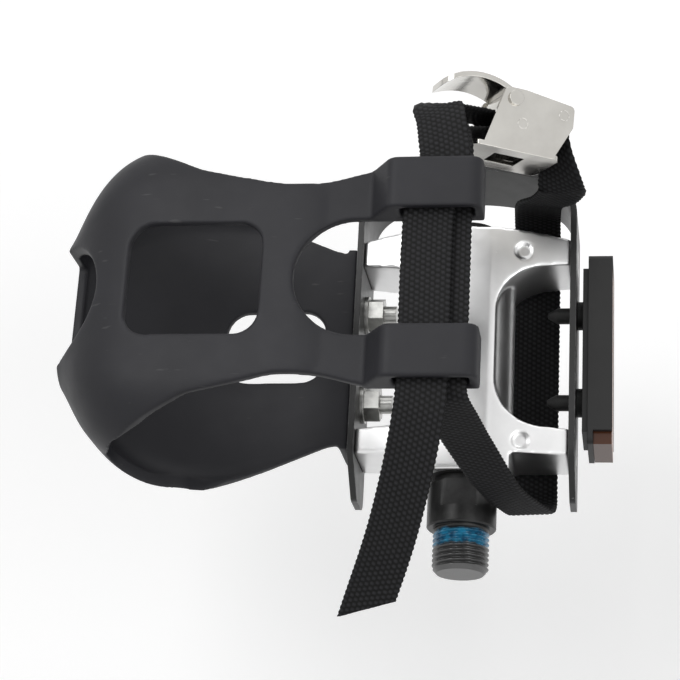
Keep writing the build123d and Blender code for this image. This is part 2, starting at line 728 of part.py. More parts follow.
# Rear reflector: a housing on two pegs, open to the rear and at the inboard end
BAR_FACE = PLATE_OUT + REFLECTOR_STANDOFF
REFLECTOR_REAR = BAR_FACE + REFLECTOR_DEPTH
POCKET_FACE = BAR_FACE + REFLECTOR_WALL
POCKET_HALF_Z = REFLECTOR_HALF_Z - REFLECTOR_WALL
with BuildPart() as reflector_housing:
    with BuildSketch(Plane.YZ.offset(BAR_FACE)):
        with Locations((MID_Y, 0)):
            RectangleRounded(2 * REFLECTOR_HALF_Y, 2 * REFLECTOR_HALF_Z, REFLECTOR_WALL)
    extrude(amount=REFLECTOR_DEPTH)
    with BuildSketch(Plane.YZ.offset(POCKET_FACE)):
        with Locations((y_at(-REFLECTOR_WALL), 0)):
            Rectangle(2 * REFLECTOR_HALF_Y, 2 * POCKET_HALF_Z)
    extrude(amount=REFLECTOR_DEPTH, mode=Mode.SUBTRACT)
    with BuildSketch(Plane.XY.offset(-2 * REFLECTOR_HALF_Z)):
        with Locations((POCKET_FACE, y_at(-REFLECTOR_HALF_Y))):
            Rectangle(REFLECTOR_DEPTH, LENS_SHOWS, align=(Align.MIN, Align.MIN))
    extrude(amount=4 * REFLECTOR_HALF_Z, mode=Mode.SUBTRACT)
    with BuildSketch(Plane.YZ.offset(BAR_FACE)):
        with Locations((MID_Y, 0)):
            Rectangle(2 * (REFLECTOR_HALF_Y - LENS_SHOWS), 2 * POCKET_HALF_Z)
    extrude(amount=-REFLECTOR_WALL)
    for peg_y in PEGS:
        with BuildSketch(Plane.YZ.offset(PLATE_OUT)):
            with Locations((peg_y, 0)):
                Circle(PEG_R + PEG_SHOULDER)
        extrude(amount=REFLECTOR_STANDOFF)
        with BuildSketch(Plane.YZ.offset(PLATE_OUT)):
            with Locations((peg_y, 0)):
                Circle(PEG_R)
        extrude(amount=-(PLATE_T + PEG_REACH - PEG_TIP))
        with Locations(Plane((PLATE_IN - PEG_REACH + PEG_TIP, peg_y, 0), z_dir=(-1, 0, 0))):
            Cone(
                PEG_R, PEG_R / 3, PEG_TIP,
                align=(Align.CENTER, Align.CENTER, Align.MIN),
            )
    with BuildSketch(across_y(y_at(REFLECTOR_HALF_Y) - REFLECTOR_WALL)):
        with Locations(((BAR_FACE + REFLECTOR_REAR) / 2, 0)):
            Circle(NIB_R)
    extrude(amount=REFLECTOR_WALL + NIB_LENGTH)
save(reflector_housing.part, "reflector_housing")

with BuildPart() as reflector_lens:
    with BuildSketch(Plane.YZ.offset(POCKET_FACE + LENS_GAP)):
        with Locations((y_at(-REFLECTOR_WALL / 2), 0)):
            Rectangle(
                2 * REFLECTOR_HALF_Y - REFLECTOR_WALL - 2 * LENS_GAP,
                2 * (POCKET_HALF_Z - LENS_GAP),
            )
    extrude(amount=REFLECTOR_DEPTH - REFLECTOR_WALL - 2 * LENS_GAP)
save(reflector_lens.part, "reflector_lens")

# Buckle plane: X along the strap, Y across it, Z out from the foot
BUCKLE = Plane(
    origin=(BUCKLE_AT[0], y_at(BUCKLE_AT[1]), BUCKLE_AT[2]),
    x_dir=BUCKLE_RUN,
    z_dir=BUCKLE_OUT,
)
CHEEK_IN = STRAP_WIDTH / 2 + BUCKLE_GAP
CHEEK_OUT = CHEEK_IN + BUCKLE_T
# Plane across the buckle's middle: X along the strap, Y out from the foot
BUCKLE_SIDE = Plane(origin=BUCKLE.origin, x_dir=BUCKLE.x_dir, z_dir=-BUCKLE.y_dir)
BARS = [(TURN_BAR_X, TURN_BAR_Z), (END_BAR_X, END_BAR_Z)]

BUCKLE_FLOOR_FAR = END_BAR_X
BUCKLE_FAR = END_BAR_X + BAR_R + BAR_WALL
CHEEK_LOW = -BUCKLE_FLOOR - BUCKLE_T
CHEEK_HIGH = PIVOT_Z + PIN_R + BAR_WALL

with BuildPart() as buckle_frame:
    with BuildSketch(BUCKLE.offset(-BUCKLE_FLOOR)):
        with Locations(((BUCKLE_NEAR + BUCKLE_FLOOR_FAR) / 2, 0)):
            RectangleRounded(BUCKLE_FLOOR_FAR - BUCKLE_NEAR, 2 * CHEEK_OUT, BUCKLE_CORNER_R)
        with Locations(((BUCKLE_SLOT_NEAR + BUCKLE_SLOT_FAR) / 2, 0)):
            Rectangle(BUCKLE_SLOT_FAR - BUCKLE_SLOT_NEAR, 2 * BUCKLE_SLOT_HALF, mode=Mode.SUBTRACT)
    extrude(amount=-BUCKLE_T)
    for start in (CHEEK_IN, -CHEEK_OUT):
        with BuildSketch(BUCKLE_SIDE.offset(start)):
            with BuildLine():
                cheek = FilletPolyline(
                    (BUCKLE_FLOOR_FAR - BUCKLE_CORNER_R, CHEEK_LOW),
                    (BUCKLE_FAR, END_BAR_Z - BAR_R - BAR_WALL),
                    (BUCKLE_FAR, END_BAR_Z + BAR_R + BAR_WALL),
                    (PIVOT_X + PIN_R + BAR_WALL, CHEEK_HIGH),
                    (PIVOT_X - PIN_R - BAR_WALL, CHEEK_HIGH),
                    (BUCKLE_NEAR + BUCKLE_CORNER_R, CHEEK_LOW),
                    radius=CHEEK_R,
                )
                Line(cheek @ 1, cheek @ 0)
            make_face()
            for bar_x, bar_z in BARS:
                with Locations((bar_x, bar_z)):
                    Circle(BAR_R, mode=Mode.SUBTRACT)
            with Locations((PIVOT_X, PIVOT_Z)):
                Circle(PIN_R, mode=Mode.SUBTRACT)
        extrude(amount=BUCKLE_T)
save(buckle_frame.part, "buckle_frame")

# Bar that the strap turns round, and bar that its sewn end is looped on
with BuildPart() as buckle_bars:
    with BuildSketch(BUCKLE_SIDE.offset(-CHEEK_OUT)):
        for bar_x, bar_z in BARS:
            with Locations((bar_x, bar_z)):
                Circle(BAR_R)
    extrude(amount=2 * CHEEK_OUT)
save(buckle_bars.part, "buckle_bars")

# Pivot pin with a low head beyond each cheek
with BuildPart() as lever_pin:
    with BuildSketch(BUCKLE_SIDE.offset(-CHEEK_OUT)):
        with Locations((PIVOT_X, PIVOT_Z)):
            Circle(PIN_R)
    extrude(amount=2 * CHEEK_OUT)
    for start, way in ((CHEEK_OUT, 1), (-CHEEK_OUT, -1)):
        with BuildSketch(BUCKLE_SIDE.offset(start)):
            with Locations((PIVOT_X, PIVOT_Z)):
                Circle(PIN_HEAD_R)
        extrude(amount=way * PIN_HEAD_T)
save(lever_pin.part, "lever_pin")

# Cam lever: a hub on the pin and a domed thumb plate with rounded corners
LEVER_HALF_Y = CHEEK_IN - LEVER_SIDE_GAP
LEVER_TIP_X = PIVOT_X - LEVER_REACH
LEVER_ROOT_Z = PIVOT_Z + CAM_R - LEVER_T
with BuildPart() as buckle_lever:
    with BuildSketch(BUCKLE_SIDE.offset(-LEVER_HALF_Y)):
        with BuildLine():
            plate = ThreePointArc(
                (PIVOT_X, LEVER_ROOT_Z),
                (PIVOT_X - LEVER_REACH / 2, LEVER_ROOT_Z + LEVER_BULGE),
                (LEVER_TIP_X, LEVER_ROOT_Z - LEVER_TIP_DROP),
            )
            offset(amount=LEVER_T, side=Side.RIGHT)
        make_face()
        with Locations((PIVOT_X, PIVOT_Z)):
            Circle(CAM_R)
            Circle(PIN_R + RUNNING_GAP, mode=Mode.SUBTRACT)
    extrude(amount=2 * LEVER_HALF_Y)
    with BuildSketch(BUCKLE) as thumb:
        with Locations(((LEVER_TIP_X + PIVOT_X + CAM_R) / 2, 0)):
            Rectangle(LEVER_REACH + CAM_R, 2 * LEVER_HALF_Y)
        fillet(thumb.vertices().group_by(Axis.X)[0], LEVER_TIP_R)
    extrude(amount=2 * PIVOT_Z, mode=Mode.INTERSECT)
save(buckle_lever.part, "buckle_lever")

# Strap: one length of webbing as flat stations joined by ruled runs
ACROSS = Vector(-1, 0, 0)
BUCKLE_ACROSS = BUCKLE.y_dir
MAIN_Z = CLIP_TOP + (SLOT_HEIGHT - LAYER_STEP) / 2
TAIL_Z = MAIN_Z + LAYER_STEP
WRAP_R = BAR_R + STRAP_T / 2 + WRAP_GAP
UNDER_Z = -(BODY_HALF_Z + STRAP_T / 2 + UNDER_GAP)


def in_buckle(along, out):
    """Station on the buckle's own centre line."""
    return BUCKLE.from_local_coords((along, 0, out)), BUCKLE_ACROSS


def round_bar(bar_x, bar_z, start, end, steps=6):
    """Stations of a wrap round a bar, angles in degrees from the strap's direction."""
    for step in range(steps + 1):
        angle = math.radians(start + (end - start) * step / steps)
        yield in_buckle(bar_x + WRAP_R * math.cos(angle), bar_z + WRAP_R * math.sin(angle))


def free(x, offset, z, across=ACROSS):
    """Station off the buckle, given from the pedal's centre plane."""
    return Vector(x, y_at(offset), z), Vector(across)


STRAP_ROUTE = [
    in_buckle(END_BAR_X - WRAP_R, END_BAR_Z - 2.6),
    *round_bar(END_BAR_X, END_BAR_Z, 180, 0),
    free(24.6, 44.5, 35.2, BUCKLE_ACROSS),
    free(24.5, 42.1, 34.6, (-0.61, 0.27, -0.75)),
    free(24.7, 39.9, 33.4, (-0.74, 0.33, -0.58)),
    free(25.0, 38.1, 31.7, (-0.85, 0.33, -0.40)),
    free(25.2, 36.8, 29.6, (-0.94, 0.27, -0.21)),
    free(25.3, 36.1, 27.2, (-0.99, 0.16, -0.03)),
    free(25.2, 35.9, 24.7, (-0.99, 0.0, 0.12)),
    free(22.8, 36.6, 18.8, (-0.96, 0.0, 0.26)),
    free(19.0, 38.4, 12.2, (-0.96, 0.0, 0.26)),
    free(17.9, 40.0, 2.0, (-0.99, 0.0, 0.1)),
    free(17.5, 37.6, UNDER_Z + 4.5),
    free(17.4, 33.0, UNDER_Z),
    free(17.4, -31.5, UNDER_Z),
    free(17.4, -37.5, UNDER_Z + 3.5),
    free(16.6, -41.0, 0.5, (-0.95, 0.0, -0.2)),
    free(10.6, -40.0, 16.0, (-0.93, 0.1, -0.3)),
    free(4.6, -34.6, 34.0, (-0.98, 0.0, -0.2)),
    free(1.6, -32.0, 48.0),
    free(0.2, -30.8, MAIN_Z - 2.6),
    free(-0.2, -28.8, MAIN_Z - 0.3),
    free(-0.2, -26.0, MAIN_Z),
    free(-0.2, 26.0, MAIN_Z),
    free(-0.4, 32.0, MAIN_Z - 0.6),
    free(-1.2, 37.0, MAIN_Z - 2.6, (-0.97, 0.1, -0.2)),
    free(-1.8, 40.6, MAIN_Z - 6.0, (-0.8, 0.3, -0.5)),
    in_buckle(BUCKLE_NEAR + 2.8, TURN_BAR_Z - WRAP_R),
    *round_bar(TURN_BAR_X, TURN_BAR_Z, -90, 90),
    in_buckle(BUCKLE_NEAR + 1.5, TURN_BAR_Z + WRAP_R),
    free(-3.2, 45.5, TAIL_Z - 5.1, (-0.85, 0.3, -0.45)),
    free(-2.4, 40.5, TAIL_Z - 1.0, (-0.97, 0.1, -0.2)),
    free(-1.4, 34.0, TAIL_Z),
    free(-1.0, 28.0, TAIL_Z),
    free(-4.3, 14.0, TAIL_Z),
    free(-4.3, -26.0, TAIL_Z),
    free(-5.0, -35.0, TAIL_Z - 1.6, (-0.97, 0.15, 0.0)),
    free(-7.9, -47.5, TAIL_Z - 8.0, (-0.95, 0.28, 0.0)),
    free(-12.4, -60.5, TAIL_Z - 17.5, (-0.95, 0.3, 0.0)),
    free(-18.8, -74.2, TAIL_Z - 29.2, (-0.95, 0.3, 0.0)),
]

STRAP_PLANES = []
for index, (point, across) in enumerate(STRAP_ROUTE):
    before = STRAP_ROUTE[max(index - 1, 0)][0]
    after = STRAP_ROUTE[min(index + 1, len(STRAP_ROUTE) - 1)][0]
    run = (after - before).normalized()
    square = across - run * across.dot(run)
    STRAP_PLANES.append((Plane(origin=point, x_dir=square, z_dir=run), STRAP_WIDTH))
# The tail is cut at a slant, longer on the toe side
TAIL_END = STRAP_PLANES.pop()[0]
TAIL_AXIS = Axis((0, 0, 0), TAIL_END.y_dir)
TAIL_PLANE = Plane(
    origin=TAIL_END.origin,
    x_dir=TAIL_END.x_dir.rotate(TAIL_AXIS, -TAIL_CUT),
    z_dir=TAIL_END.z_dir.rotate(TAIL_AXIS, -TAIL_CUT),
)
STRAP_PLANES.append((TAIL_PLANE, STRAP_WIDTH / math.cos(math.radians(TAIL_CUT))))

with BuildPart() as strap:
    for near, far in zip(STRAP_PLANES, STRAP_PLANES[1:]):
        for station, width in (near, far):
            with BuildSketch(station):
                Rectangle(width, STRAP_T)
        loft(ruled=True)
save(strap.part, "strap")
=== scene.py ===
"""Looks of the toe clip pedal: moulded shell, woven strap, cast body, threaded spindle, studio."""
import json
import math

import bpy
from mathutils import Matrix, Vector


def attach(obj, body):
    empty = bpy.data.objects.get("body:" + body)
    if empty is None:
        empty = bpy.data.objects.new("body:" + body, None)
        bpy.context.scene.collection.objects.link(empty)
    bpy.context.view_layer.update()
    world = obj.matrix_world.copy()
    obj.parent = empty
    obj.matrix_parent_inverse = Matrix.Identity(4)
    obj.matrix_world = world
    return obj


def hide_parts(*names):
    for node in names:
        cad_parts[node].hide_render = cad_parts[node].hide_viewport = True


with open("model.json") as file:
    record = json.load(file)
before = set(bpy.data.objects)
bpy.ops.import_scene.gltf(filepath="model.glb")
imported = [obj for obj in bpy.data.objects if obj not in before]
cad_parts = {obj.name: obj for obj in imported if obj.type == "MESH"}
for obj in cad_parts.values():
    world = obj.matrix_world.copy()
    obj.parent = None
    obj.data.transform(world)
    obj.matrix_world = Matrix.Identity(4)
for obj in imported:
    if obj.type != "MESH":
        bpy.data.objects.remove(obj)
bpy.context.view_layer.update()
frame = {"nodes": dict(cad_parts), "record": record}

MM = 0.001
NODES = frame["nodes"]
SCENE = bpy.context.scene
WHITE = (1.0, 1.0, 1.0, 1.0)

# Pedal centre plane, measured out from the crank shoulder
MID_Y = 46.0

# Camera: where the photograph was taken from, in millimetres from the pedal's centre
CAMERA_AT = Vector((47.9, -184.9, 486.2))
CAMERA_UP = Vector((0.0, 0.94, 0.342))
CAMERA_AIM = Vector((-30.0, -3.0, 22.0))
CAMERA_LENS = 106.0
CAMERA_SENSOR = 36.0
CAMERA_NEAR = 10.0

# Light on the object; the surround itself is white to the camera and in reflections
WORLD_LIGHT = 0.45
WORLD_SEEN = 1.0
LIGHT_AIM = (-20, 0, 20)
LIGHT_UP = Vector((0.0, 1.0, 0.01))
# Soft boxes: name, place in millimetres, size in metres, watts
SOFT_BOXES = (
    ("key", (-250, 150, 560), 0.34, 1.3),
    ("fill", (330, -160, 480), 0.40, 0.85),
    ("rim", (60, 480, 300), 0.30, 0.5),
)

# The floor lies below the circle that the toe clip's nose sweeps, in millimetres
FLOOR_Z = -108.0
FLOOR_HALF = 3000.0
FLOOR_TONE = 0.97
FLOOR_LIFT = 0.2

# Rounding of edges in the materials, in millimetres
PLASTIC_EDGE = 0.3
METAL_EDGE = 0.25
PLATE_EDGE = 0.35
EDGE_SAMPLES = 6
# Agreement of the rounded and the true normal: worn through, and not worn
WORN = 0.72
UNWORN = 0.97

# Rounding of the moulded and cast meshes
SMOOTH_FACTOR = 0.5

# Webbing, in millimetres, with the tail's cut in degrees
STRAP_WIDTH = 12.0
STRAP_T = 1.5
STRAP_STEP = 0.35
STRAP_COLUMNS = 30
PATH_STEP = 0.1
PATH_STEPS_LEAST = 4
WEAVE_ROW = 1.4
WEAVE_COLUMNS = 10
WEAVE_DEPTH = 0.3
WEAVE_GROOVE = 0.2
SELVEDGE = 0.9
SELVEDGE_SHARE = 0.45
SCALLOP = 0.12
TAIL_CUT = 40.0
TAIL_RUN = 16.0

# Buckle axes and the strap's places in it, as the solids have them
BUCKLE_AT = Vector((11.0, 41.5, 42.0))
BUCKLE_RUN = Vector((0.88, 0.0, -0.475)).normalized()
BUCKLE_OUT = Vector((0.0756, 0.98, 0.14))
BUCKLE_ACROSS = BUCKLE_OUT.cross(BUCKLE_RUN).normalized()
WRAP_R = 2.35
WRAP_STEPS = 6
MAIN_Z = 57.4
TAIL_Z = 59.6
UNDER_Z = -11.55

# Spindle, in millimetres, with its crease in degrees
THREAD_R = 7.145
THREAD_DEPTH = 0.74
THREAD_PITCH = 1.27
THREAD_LENGTH = 11.5
THREAD_CHAMFER = 1.2
THREAD_STEP = 0.115
THREAD_FLANK = 1.25
THREAD_CREST = 0.12
COLLAR_R = 8.8
NECK_R = 6.9
SHAFT_R = 5.08
END_R = 3.6
FLAT_ACROSS = 15.0
FLAT_START = 4.4
FLAT_END = 11.4
FLAT_SINE = 0.01
SPINDLE_SIDES = 120
SPINDLE_CREASE = 28.0
# Turned part, from the shoulder to the outboard end: place along the spindle, radius
SPINDLE_PROFILE = [
    (0.0, COLLAR_R - 0.4), (0.4, COLLAR_R),
    (FLAT_START - 0.05, COLLAR_R), (FLAT_START + 0.05, COLLAR_R),
    (FLAT_END - 0.35, COLLAR_R), (FLAT_END, COLLAR_R - 0.35),
    (FLAT_END, NECK_R), (15.98, NECK_R), (16.98, NECK_R - 0.3),
    (16.98, SHAFT_R), (22.6, SHAFT_R), (63.2, 4.2),
    (63.8, END_R), (75.5, END_R), (76.0, END_R - 0.5),
]

# Band of thread-lock along the spindle, in millimetres
LOCK_START = -4.7
LOCK_END = -1.0
LOCK_BLUR = 0.2
LOCK_RAGGED = 0.9
# Run over which the painted highlight on the thread and its end, a lighter steel tone for their
# reflections, fades out towards the shoulder
THREAD_HIGHLIGHT_FADE = 1.0


def at(x, offset, z):
    """Point in metres from millimetres, with Y given from the pedal's centre plane."""
    return Vector((x, MID_Y + offset, z)) * MM


def look_matrix(eye, target, up):
    """Matrix of a camera or a lamp at eye that looks at target."""
    back = (eye - target).normalized()
    right = up.cross(back).normalized()
    true_up = back.cross(right)
    matrix = Matrix((right, true_up, back)).transposed().to_4x4()
    matrix.translation = eye
    return matrix


def add_camera():
    """Camera in the photograph's place, turned to the middle of the pedal."""
    data = bpy.data.cameras.new("camera")
    data.lens = CAMERA_LENS
    data.sensor_width = CAMERA_SENSOR
    data.clip_start = CAMERA_NEAR * MM
    camera = bpy.data.objects.new("camera", data)
    camera.matrix_world = look_matrix(at(*CAMERA_AT), at(*CAMERA_AIM), CAMERA_UP)
    SCENE.collection.objects.link(camera)
    SCENE.camera = camera


def add_area(name, place, size, watts):
    """Square soft box at place, facing the pedal."""
    data = bpy.data.lights.new(name, "AREA")
    data.size = size
    data.energy = watts
    lamp = bpy.data.objects.new(name, data)
    lamp.matrix_world = look_matrix(at(*place), at(*LIGHT_AIM), LIGHT_UP)
    SCENE.collection.objects.link(lamp)


def viewing_rays(tree):
    """Socket that is 1 for rays from the camera, a reflection or a clear piece, else 0."""
    rays = tree.nodes.new("ShaderNodeLightPath").outputs
    seen = rays["Is Camera Ray"]
    for kind in ("Is Glossy Ray", "Is Transmission Ray"):
        either = tree.nodes.new("ShaderNodeMath")
        either.operation = "MAXIMUM"
        tree.links.new(seen, either.inputs[0])
        tree.links.new(rays[kind], either.inputs[1])
        seen = either.outputs[0]
    return seen


def add_lights():
    """Plain white surround and three soft boxes."""
    world = bpy.data.worlds.new("studio")
    SCENE.world = world
    world.use_nodes = True
    tree = world.node_tree
    background = tree.nodes["Background"]
    background.inputs["Color"].default_value = WHITE
    strength = tree.nodes.new("ShaderNodeMapRange")
    strength.inputs["To Min"].default_value = WORLD_LIGHT
    strength.inputs["To Max"].default_value = WORLD_SEEN
    tree.links.new(viewing_rays(tree), strength.inputs["Value"])
    tree.links.new(strength.outputs["Result"], background.inputs["Strength"])
    for name, place, size, watts in SOFT_BOXES:
        add_area(name, place, size, watts)


class Shader:
    """Small helper that builds one principled material node by node."""

    def __init__(self, name, **sockets):
        self.material = bpy.data.materials.new(name)
        self.material.use_nodes = True
        self.tree = self.material.node_tree
        self.bsdf = self.tree.nodes["Principled BSDF"]
        self.normal = None
        for socket, value in sockets.items():
            self.bsdf.inputs[socket.replace("_", " ")].default_value = value

    def node(self, kind, **values):
        """New node with its properties or input sockets set."""
        node = self.tree.nodes.new(kind)
        for name, value in values.items():
            if hasattr(node, name):
                setattr(node, name, value)
            else:
                node.inputs[name.replace("_", " ")].default_value = value
        return node

    def link(self, start, end):
        """Join an output socket to an input socket."""
        self.tree.links.new(start, end)

    def feed(self, socket, name):
        """Join an output socket to one of the shader's own inputs."""
        self.link(socket, self.bsdf.inputs[name])

    def math(self, operation, first, second):
        """Result of an operation on a socket and a second socket or a number."""
        node = self.node("ShaderNodeMath", operation=operation)
        self.link(first, node.inputs[0])
        if isinstance(second, (int, float)):
            node.inputs[1].default_value = second
        else:
            self.link(second, node.inputs[1])
        return node.outputs[0]

    def coords(self, stretch=None):
        """Object coordinates, with an optional stretch along the axes."""
        source = self.node("ShaderNodeTexCoord").outputs["Object"]
        if stretch:
            mapping = self.node("ShaderNodeMapping")
            mapping.inputs["Scale"].default_value = stretch
            self.link(source, mapping.inputs["Vector"])
            source = mapping.outputs["Vector"]
        return source

    def noise(self, scale, detail=4.0, roughness=0.55, stretch=None):
        """Noise value in object space."""
        texture = self.node(
            "ShaderNodeTexNoise", Scale=scale, Detail=detail, Roughness=roughness
        )
        self.link(self.coords(stretch), texture.inputs["Vector"])
        return texture.outputs["Fac"]

    def scratches(self, scale, stretch, low, high):
        """Thin marks where a stretched noise is high: 1 on a mark and 0 elsewhere."""
        streaks = self.noise(scale, detail=2.0, roughness=0.4, stretch=stretch)
        return self.between(streaks, 0.0, 1.0, low, high)

    def ramp(self, value, stops):
        """Colour ramp over a value, as (position, colour) stops."""
        ramp = self.node("ShaderNodeValToRGB")
        for element, (position, colour) in zip(ramp.color_ramp.elements, stops):
            element.position = position
            element.color = (*colour, 1.0)
        self.link(value, ramp.inputs["Fac"])
        return ramp.outputs["Color"]

    def between(self, value, low, high, from_low=0.0, from_high=1.0):
        """Value mapped from one range to another and kept inside it."""
        node = self.node("ShaderNodeMapRange")
        node.inputs["From Min"].default_value = from_low
        node.inputs["From Max"].default_value = from_high
        node.inputs["To Min"].default_value = low
        node.inputs["To Max"].default_value = high
        self.link(value, node.inputs["Value"])
        return node.outputs["Result"]

    def mix(self, share, first, second):
        """Blend of two colours, each a socket or a plain colour."""
        node = self.node("ShaderNodeMix", data_type="RGBA")
        self.link(share, node.inputs["Factor"])
        colours = [entry for entry in node.inputs if entry.type == "RGBA"]
        for socket, colour in zip(colours, (first, second)):
            if isinstance(colour, tuple):
                socket.default_value = (*colour, 1.0)
            else:
                self.link(colour, socket)
        return [entry for entry in node.outputs if entry.type == "RGBA"][0]

    def edges(self, radius_mm):
        """Round the look of sharp edges."""
        bevel = self.node("ShaderNodeBevel", samples=EDGE_SAMPLES, Radius=radius_mm * MM)
        self.normal = bevel.outputs["Normal"]
        self.feed(self.normal, "Normal")

    def wear(self):
        """1 along sharp edges and 0 on the faces, after the edges were rounded."""
        dot = self.node("ShaderNodeVectorMath", operation="DOT_PRODUCT")
        self.link(self.normal, dot.inputs[0])
        self.link(self.node("ShaderNodeNewGeometry").outputs["Normal"], dot.inputs[1])
        return self.between(dot.outputs["Value"], 1.0, 0.0, WORN, UNWORN)

    def bump(self, value, depth_mm, strength):
        """Bump from a height value, one on top of the last."""
        bump = self.node("ShaderNodeBump", Strength=strength, Distance=depth_mm * MM)
        self.link(value, bump.inputs["Height"])
        if self.normal:
            self.link(self.normal, bump.inputs["Normal"])
        self.normal = bump.outputs["Normal"]
        self.feed(self.normal, "Normal")


def grey(value):
    """Colour with no hue."""
    return (value, value, value)


def moulded_plastic(name, dark, light, low, high):
    """Matt plastic, roughness low to high, with a fine grain, faint flow marks and a few scuffs."""
    shader = Shader(name, Base_Color=(*light, 1.0), Roughness=high, Specular_IOR_Level=0.3)
    tone = shader.ramp(shader.noise(60.0), [(0.3, dark), (0.75, light)])
    scuff = shader.scratches(260.0, (0.5, 3.0, 1.0), low=0.72, high=0.78)
    pale = shader.math("MULTIPLY", scuff, 0.3)
    shader.feed(shader.mix(pale, tone, grey(0.1)), "Base Color")
    shader.feed(shader.between(shader.noise(220.0), low, high), "Roughness")
    shader.edges(PLASTIC_EDGE)
    shader.bump(shader.noise(2600.0, detail=2.0), depth_mm=0.03, strength=0.45)
    return shader.material


def plain_metal(name, dark, light, low, high, scale=300.0, depth_mm=0.012):
    """Metal, roughness low to high, with a mottled tone, rounded edges and a fine surface."""
    shader = Shader(name, Base_Color=(*light, 1.0), Roughness=high, Metallic=1.0)
    tone = shader.noise(scale)
    shader.feed(shader.ramp(tone, [(0.3, dark), (0.7, light)]), "Base Color")
    shader.feed(shader.between(shader.noise(scale * 0.6), low, high), "Roughness")
    shader.edges(METAL_EDGE)
    shader.bump(tone, depth_mm, strength=0.35)
    return shader.material


def painted_plate():
    """Black paint on steel plate, worn to metal along its edges."""
    shader = Shader(
        "cage_black", Base_Color=(0.012, 0.012, 0.013, 1.0), Roughness=0.36, Specular_IOR_Level=0.4
    )
    tone = shader.ramp(shader.noise(80.0), [(0.3, grey(0.008)), (0.75, grey(0.015))])
    shader.edges(PLATE_EDGE)
    patchy = shader.between(
        shader.noise(420.0, detail=5.0), 0.15, 1.0, from_low=0.4, from_high=0.66
    )
    worn = shader.math("MULTIPLY", shader.wear(), patchy)
    scuff = shader.scratches(420.0, (1.0, 0.4, 3.0), low=0.74, high=0.8)
    paler = shader.math("MAXIMUM", worn, shader.math("MULTIPLY", scuff, 0.35))
    shader.feed(shader.mix(paler, tone, grey(0.38)), "Base Color")
    shader.feed(shader.math("MULTIPLY", worn, 0.7), "Metallic")
    shader.feed(shader.between(shader.noise(240.0), 0.28, 0.46), "Roughness")
    shader.bump(shader.noise(900.0, detail=3.0), depth_mm=0.02, strength=0.3)
    return shader.material


def cast_aluminium():
    """Polished casting: bright, with a soft uneven skin and small pits."""
    shader = Shader(
        "cast_aluminium", Base_Color=(*grey(0.78), 1.0), Roughness=0.3, Metallic=1.0
    )
    tone = shader.noise(70.0, detail=5.0)
    shader.feed(shader.ramp(tone, [(0.3, grey(0.72)), (0.7, grey(0.84))]), "Base Color")
    shader.feed(shader.between(shader.noise(160.0, detail=5.0), 0.25, 0.38), "Roughness")
    shader.bump(shader.noise(150.0, detail=3.0), depth_mm=0.03, strength=0.2)
    pits = shader.between(shader.noise(700.0, detail=2.0), 0.0, 1.0, from_low=0.24, from_high=0.3)
    shader.bump(pits, depth_mm=0.04, strength=0.3)
    return shader.material


def spindle_steel():
    """Dark steel with turned rings, a band of blue thread-lock beside the shoulder, and a painted
    highlight: the thread and its end painted a lighter steel tone.
    """
    shader = Shader(
        "black_steel", Base_Color=(0.05, 0.05, 0.052, 1.0), Roughness=0.38, Metallic=0.9
    )
    tone = shader.ramp(shader.noise(160.0), [(0.3, grey(0.025)), (0.7, grey(0.055))])
    place = shader.node("ShaderNodeSeparateXYZ")
    shader.link(shader.coords(), place.inputs[0])
    along = place.outputs["Y"]
    stray = shader.between(
        shader.noise(330.0, detail=3.0), -LOCK_RAGGED * MM, LOCK_RAGGED * MM
    )
    ragged = shader.math("ADD", along, stray)
    start = shader.between(
        ragged, 0.0, 1.0, (LOCK_START - LOCK_BLUR) * MM, (LOCK_START + LOCK_BLUR) * MM
    )
    end = shader.between(
        ragged, 1.0, 0.0, (LOCK_END - LOCK_BLUR) * MM, (LOCK_END + LOCK_BLUR) * MM
    )
    band = shader.math("MULTIPLY", start, end)
    # Painted highlight: the thread and its end are painted a lighter steel tone, standing in for
    # their reflections
    paler = shader.between(along, 1.0, 0.0, LOCK_START * MM, (LOCK_START + THREAD_HIGHLIGHT_FADE) * MM)
    steel = shader.mix(paler, tone, grey(0.12))
    blue = shader.ramp(
        shader.noise(500.0), [(0.35, (0.006, 0.07, 0.15)), (0.65, (0.03, 0.28, 0.47))]
    )
    shader.feed(shader.mix(band, steel, blue), "Base Color")
    shader.feed(shader.between(band, 0.9, 0.0), "Metallic")
    shader.feed(shader.between(band, 0.38, 0.2), "Roughness")
    rings = shader.node(
        "ShaderNodeTexWave", wave_type="RINGS", rings_direction="Y", Scale=900.0, Distortion=0.6
    )
    shader.link(shader.coords(), rings.inputs["Vector"])
    shader.bump(rings.outputs["Fac"], depth_mm=0.015, strength=0.3)
    return shader.material


def webbing():
    """Woven nylon: dark webbing with painted shade in the weave's grooves and painted highlights on
    its raised stitches, a slight sheen and loose fibres.
    """
    shader = Shader(
        "webbing", Base_Color=(0.012, 0.012, 0.013, 1.0), Roughness=0.65, Specular_IOR_Level=0.15
    )
    crest = shader.node("ShaderNodeAttribute", attribute_name="crest").outputs["Fac"]
    # Painted shade and highlight: the weave's grooves are painted near black and its raised
    # stitches lighter
    painted_weave_shading = shader.ramp(crest, [(0.12, grey(0.003)), (0.7, (0.028, 0.028, 0.031))])
    dust = shader.between(shader.noise(900.0), 0.0, 0.5)
    shader.feed(shader.mix(dust, painted_weave_shading, grey(0.012)), "Base Color")
    shader.feed(shader.between(shader.noise(500.0), 0.55, 0.75), "Roughness")
    shader.bump(shader.noise(3800.0, detail=2.0), depth_mm=0.05, strength=0.6)
    return shader.material


